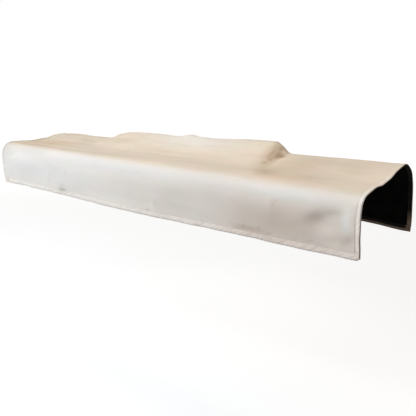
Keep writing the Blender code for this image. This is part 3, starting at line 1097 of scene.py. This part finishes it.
@dataclass
class CanvasSheet:
    """The cover's one sheet, with its hems, its slit and its dark reverse."""

    name: str = "canvas_sheet"
    form: ClothForm = field(default_factory=ClothForm)
    flat_width: float = 1.400
    flat_length: float = 0.640
    cloth: LaidCloth = field(init=False)
    columns: Array = field(init=False)
    lines: Array = field(init=False)
    piece: Piece = field(init=False)

    def plan_grid(self) -> None:
        """Place the grid lines: fine at hems, slit and gather, wider between."""
        half, middle = LENGTH / 2, self.form.slit_middle
        in_hem = [each * END_HEM_SHARE for each in HEM_LINES]
        exact_x = [*(each - half for each in in_hem), SLIT_LEFT, SLIT_RIGHT]
        self.columns = graded_places([*exact_x, *(half - each for each in reversed(in_hem))], CELL_LENGTH)
        total = float(self.form.row_places()[-1])
        before, after = middle - self.form.slit_half, middle + self.form.slit_half
        exact = [*HEM_LINES, *(before - each for each in reversed(SLIT_LINES))]
        exact += [*(after + each for each in SLIT_LINES), *(total - each for each in reversed(HEM_LINES))]
        # The cells' width, in mm, against the run; no line is added inside the slit.
        cell_width = Profile(
            (0.022, 3.0), (0.045, 6.5), (0.135, 5.0), (0.240, 6.0), (0.300, 4.5), (0.360, 4.5),
            (before - 0.012, 2.5), (middle, 30.0), (after + 0.012, 2.5),
            (0.470, 5.5), (total - 0.045, 7.0), (total - 0.022, 3.0),
        )
        self.lines = graded_places(exact, cell_width)

    def build(self, finishes: Sequence[Material]) -> None:
        """Lay the grid on the cloth's form and give it its thickness.

        Args:
            finishes: The materials in the order of Side.
        """
        self.plan_grid()
        self.cloth = self.form.lay(self.columns, self.lines)
        wide, deep = len(self.columns), len(self.lines)
        deselect_all()
        bpy.ops.mesh.primitive_grid_add(x_subdivisions=wide - 1, y_subdivisions=deep - 1, size=1.0)
        self.piece = bpy.context.object
        self.piece.name = self.piece.data.name = self.name
        mesh = self.piece.data
        for finish in finishes:
            mesh.materials.append(finish)
        store(mesh.vertices, "co", self.cloth.points)
        self.carry_masks(mesh)
        self.map_cloth(mesh)
        self.set_thickness()
        self.cut_slit(mesh)
        take(self.piece)
        for modifier in list(self.piece.modifiers):
            bpy.ops.object.modifier_apply(modifier=modifier.name)
        self.name_faces()
        mesh.shade_smooth()

    def carry_masks(self, mesh: Mesh) -> None:
        """Store at each point what the finish reads there."""
        for name, values in self.cloth.masks().items():
            store(mesh.attributes.new(name, "FLOAT", "POINT").data, "value", values)
        stain_and_painted_light = np.insert(self.cloth.stain_and_painted_light, 3, 1.0, axis=2)
        store(mesh.attributes.new(PAINTED_LIGHT_AND_STAIN, "FLOAT_COLOR", "POINT").data, "color", stain_and_painted_light)

    def map_cloth(self, mesh: Mesh) -> None:
        """Give the sheet a UV map of its flat cloth, in metres."""
        for old in list(mesh.uv_layers):
            mesh.uv_layers.remove(old)
        layer = mesh.uv_layers.new(name=UV_NAME)
        corner = np.empty(len(mesh.loops), dtype=np.int32)
        mesh.loops.foreach_get("vertex_index", corner)
        flat = self.cloth.flat_places().transpose(1, 0, 2).reshape(-1, 2)
        layer.uv.foreach_set("vector", flat[corner].astype(np.float32).ravel())

    def set_thickness(self) -> None:
        """Give the sheet its thickness inwards, more along the turned hems."""
        group = self.piece.vertex_groups.new(name="thickness")
        least = THINNEST_MM / THICKEST_MM
        shares = (self.cloth.thickness() / THICKEST_MM - least) / (1.0 - least)
        for index, share in enumerate(shares.T.ravel()):
            group.add([index], float(np.clip(share, 0.0, 1.0)), "REPLACE")
        solid = self.piece.modifiers.new("cloth thickness", "SOLIDIFY")
        solid.thickness = THICKEST_MM * MM
        solid.offset = -1.0
        solid.vertex_group = group.name
        solid.thickness_vertex_group = least
        solid.use_rim = True
        solid.material_offset = Side.REVERSE
        solid.material_offset_rim = Side.OUTER

    def cut_slit(self, mesh: Mesh) -> None:
        """Open the slit between its two edge rows."""
        row = nearest(self.lines, self.form.slit_middle - self.form.slit_half)
        left, right = nearest(self.columns, SLIT_LEFT), nearest(self.columns, SLIT_RIGHT)
        picked = np.zeros(len(mesh.polygons), dtype=bool)
        first = row * (len(self.columns) - 1)
        picked[first + left : first + right] = True
        take(self.piece)
        bpy.ops.object.mode_set(mode="EDIT")
        bpy.ops.mesh.select_mode(type="FACE")
        bpy.ops.mesh.select_all(action="DESELECT")
        bpy.ops.object.mode_set(mode="OBJECT")
        mesh.polygons.foreach_set("select", picked)
        bpy.ops.object.mode_set(mode="EDIT")
        bpy.ops.mesh.delete(type="FACE")
        bpy.ops.object.mode_set(mode="OBJECT")

    def name_faces(self) -> None:
        """Give the turned-in hems of the reverse their own finish."""
        mesh = self.piece.data
        edge, slit = np.empty((2, len(mesh.vertices)), dtype=np.float32)
        mesh.attributes[EDGE_MASK].data.foreach_get("value", edge)
        mesh.attributes[SLIT_MASK].data.foreach_get("value", slit)
        turned = (edge < EDGE_HEM.width + EDGE_TURN_SLACK), (slit < SLIT_HEM.width + SLIT_TURN_SLACK)
        for face in mesh.polygons:
            points = list(face.vertices)
            if face.material_index == Side.REVERSE and any(hem[points].all() for hem in turned):
                face.material_index = Side.TURNED_HEM

    def dress(self) -> None:
        """Let the sheet stand for the cover's solid and move with it."""
        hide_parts(COVER_NODE)
        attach(self.piece, ROOT_BODY)


@dataclass
class HemStitching:
    """The rows of stitches along the hems and round the slit, on one face."""

    name: str
    sheet: CanvasSheet
    reverse: bool = False
    pitch: float = 0.0036
    stitch_length: float = 0.0029
    radius: float = 0.00030
    sides: int = 5
    # Each ring's place along the stitch, its swell and its rise, as shares.
    rings: Sequence[Place] = (
        (-0.5, 0.30, -0.9), (-0.32, 0.85, 0.0), (0.0, 1.0, 0.35), (0.32, 0.85, 0.0), (0.5, 0.30, -0.9),
    )
    piece: Piece = field(init=False)

    def seam_paths(self) -> list[tuple[Array, Array]]:
        """Return points and normals along every seam line of the sheet."""
        cloth = self.sheet.cloth
        points, normals = cloth.points, cloth.normals()
        if self.reverse:
            points = points - normals * cloth.thickness()[:, :, None] * MM
            normals = -normals
        columns, lines = self.sheet.columns, self.sheet.lines
        inset, end_inset = EDGE_HEM.stitch_line, EDGE_HEM.stitch_line * END_HEM_SHARE
        left, right = nearest(columns, end_inset - LENGTH / 2), nearest(columns, LENGTH / 2 - end_inset)
        low, high = nearest(lines, inset), nearest(lines, lines[-1] - inset)
        along, across = slice(left, right + 1), slice(low, high + 1)
        places = [(along, low), (along, high), (left, across), (right, across)]
        seam = SLIT_HEM.stitch_line
        round_slit = slice(nearest(columns, SLIT_LEFT - seam), nearest(columns, SLIT_RIGHT + seam) + 1)
        for side in (-1, 1):
            line = self.sheet.form.slit_middle + side * (self.sheet.form.slit_half + seam)
            places.append((round_slit, nearest(lines, line)))
        return [(points[place], normals[place]) for place in places]

    def stitch(self) -> tuple[Array, list[tuple[int, ...]]]:
        """Return one stitch along +X on the plane z = 0: its points and faces."""
        place, swell, rise = np.array(self.rings).T[:, :, None]
        turn = 2 * math.pi * np.arange(self.sides) / self.sides
        across, up = np.cos(turn) * swell, np.sin(turn) * swell + rise
        along = np.broadcast_to(place, across.shape) * self.stitch_length
        points = np.stack((along, across * self.radius, up * self.radius), axis=2).reshape(-1, 3)
        last = len(points) - self.sides
        faces = [
            (low + side, low + after, low + after + self.sides, low + side + self.sides)
            for low in range(0, last, self.sides)
            for side, after in zip(range(self.sides), (*range(1, self.sides), 0))
        ]
        ends = tuple(reversed(range(self.sides))), tuple(range(last, len(points)))
        return points, [*faces, *ends]

    def build(self) -> None:
        """Set one stitch after another along every seam."""
        shape, faces = self.stitch()
        points, polygons = [], []
        for path, normal in self.seam_paths():
            run = run_along(path)
            for place in np.arange(self.pitch, run[-1] - self.pitch / 2, self.pitch):
                middle, up, ahead = (
                    np.array([np.interp(at, run, each) for each in values.T])
                    for values, at in ((path, place), (normal, place), (path, place + self.pitch / 4))
                )
                ahead -= middle
                ahead /= np.linalg.norm(ahead)
                up -= ahead * (up @ ahead)
                up /= np.linalg.norm(up)
                first = len(points) * len(shape)
                points.append(middle + shape @ np.array((ahead, np.cross(up, ahead), up)))
                polygons.extend(tuple(first + corner for corner in face) for face in faces)
        mesh = bpy.data.meshes.new(self.name)
        mesh.from_pydata(np.concatenate(points).tolist(), [], polygons)
        mesh.update()
        mesh.shade_smooth()
        self.piece = bpy.data.objects.new(self.name, mesh)
        bpy.context.scene.collection.objects.link(self.piece)

    def dress(self, thread: Material) -> None:
        """Give the stitches their thread and let them move with the cover."""
        self.piece.data.materials.append(thread)
        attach(self.piece, ROOT_BODY)


@dataclass(frozen=True)
class SoftLight:
    """One large soft lamp."""

    name: str
    place: Place
    aim: Place
    width: float
    depth: float
    power: float
    colour: Colour

    def build(self) -> None:
        """Add the lamp and turn it to its aim."""
        lamp = bpy.data.lights.new(self.name, "AREA")
        lamp.shape = "RECTANGLE"
        lamp.size, lamp.size_y = self.width, self.depth
        lamp.energy, lamp.color = self.power, self.colour
        holder = bpy.data.objects.new(self.name, lamp)
        holder.location = self.place
        heading = Vector(self.aim) - Vector(self.place)
        holder.rotation_euler = heading.to_track_quat("-Z", "Y").to_euler()
        bpy.context.scene.collection.objects.link(holder)


@dataclass
class Studio:
    """The plain pale floor, the soft light and the camera."""

    floor_height: float = -0.870
    floor_size: float = 30.0
    floor_lit: Colour = (0.50, 0.49, 0.48)
    floor_seen: Colour = (0.80, 0.80, 0.80)
    # The nearer and the farther distance, and how strongly the floor glows there.
    glow: Sequence[float] = (1.5, 5.5, 0.53, 0.98)
    camera_place: Place = (1.1416, -1.3098, 0.2397)
    camera_turn: Place = (76.318, -0.124, 37.771)
    lens: float = 46.897
    sensor: float = 36.0
    far_clip: float = 60.0
    surround: Colour = (0.120, 0.114, 0.108)
    white: Colour = (1.0, 1.0, 1.0)
    lights: Sequence[SoftLight] = (
        SoftLight(
            "front left key", (-1.75, -1.95, 0.75), (-0.25, 0.0, -0.05), 1.5, 1.3, 44.6, (0.82, 0.92, 1.0)
        ),
        SoftLight("low front", (-0.2, -2.6, 0.15), (0.0, 0.0, -0.08), 2.4, 1.2, 7.3, (0.92, 0.96, 1.0)),
        SoftLight("high front", (0.0, -1.6, 1.9), (0.0, 0.0, 0.0), 3.0, 1.2, 18.6, (0.93, 0.97, 1.0)),
        SoftLight("overhead", (0.1, 0.25, 2.1), (0.1, 0.1, 0.0), 3.0, 1.8, 26.0, (1.0, 0.94, 0.87)),
        SoftLight("right fill", (2.2, -1.6, 0.5), (0.4, 0.0, 0.0), 1.6, 1.6, 7.1, (1.0, 0.86, 0.74)),
        SoftLight("back fill", (0.0, 2.2, 1.5), (0.0, 0.0, 0.0), 3.0, 1.2, 6.0, (1.0, 0.96, 0.92)),
    )

    def build_floor(self) -> None:
        """Lay the floor, well below the cover's hems; the camera sees it glow far out."""
        deselect_all()
        bpy.ops.mesh.primitive_plane_add(size=self.floor_size, location=(0.0, 0.0, self.floor_height))
        floor = bpy.context.object
        floor.name = "pale_floor"
        material, bench, shader = start_material("pale floor")
        seen = bench.add("LightPath").outputs["Is Camera Ray"]
        place = bench.add("TexCoord").outputs["Object"]
        far = bench.add("VectorMath", {0: place}, operation="LENGTH").outputs["Value"]
        bench.feed(shader, {
            "Base Color": bench.mixed(seen, self.floor_lit, self.floor_seen),
            "Roughness": 0.9,
            "Specular IOR Level": 0.1,
            "Emission Color": self.white,
            "Emission Strength": bench.times(bench.ranged(far, *self.glow), seen),
        })
        floor.data.materials.append(material)

    def build_world(self) -> None:
        """Make a white surround that the camera sees brighter than it lights."""
        world = bpy.data.worlds.new("white surround")
        world.use_nodes = True
        bpy.context.scene.world = world
        bench = NodeBench(world.node_tree)
        seen = bench.add("LightPath").outputs["Is Camera Ray"]
        colour = bench.mixed(seen, self.surround, self.white)
        bench.feed(world.node_tree.nodes["Background"], {"Color": colour, "Strength": 1.0})

    def build_camera(self) -> None:
        """Set the camera at the photograph's place and angle."""
        camera = bpy.data.cameras.new("camera")
        camera.lens = self.lens
        camera.sensor_width = self.sensor
        camera.clip_end = self.far_clip
        holder = bpy.data.objects.new("camera", camera)
        holder.location = self.camera_place
        holder.rotation_euler = [math.radians(angle) for angle in self.camera_turn]
        bpy.context.scene.collection.objects.link(holder)
        bpy.context.scene.camera = holder

    def build(self) -> None:
        """Set up everything round the cover."""
        self.build_floor()
        self.build_world()
        self.build_camera()
        for light in self.lights:
            light.build()
        bpy.context.scene.view_settings.view_transform = "Standard"


def main() -> None:
    """Build the cover's pieces in order, dress them and report each one."""
    logging.basicConfig(level=logging.INFO, format="%(name)s: %(message)s")
    groups = plain_weave_group(), handling_group()
    canvas = CanvasFinish("cream canvas").material(*groups)
    turned = TurnedHemFinish("turned hem canvas").material(*groups)
    reverse = ReverseFinish("dark coated reverse").material(*groups)
    thread = ThreadFinish("cream thread").material()
    dark_thread = ThreadFinish("dark thread", (0.030, 0.025, 0.021), (0.012, 0.010, 0.008)).material()
    sheet = CanvasSheet()
    sheet.build((canvas, reverse, turned))
    sheet.dress()
    log.info("%s: %d faces", sheet.piece.name, len(sheet.piece.data.polygons))
    stitching = [HemStitching("outer_stitches", sheet), HemStitching("inner_stitches", sheet, reverse=True)]
    for rows in stitching:
        rows.build()
        rows.dress(dark_thread if rows.reverse else thread)
        log.info("%s: %d faces", rows.piece.name, len(rows.piece.data.polygons))
    Studio().build()


if __name__ == "__main__":
    main()
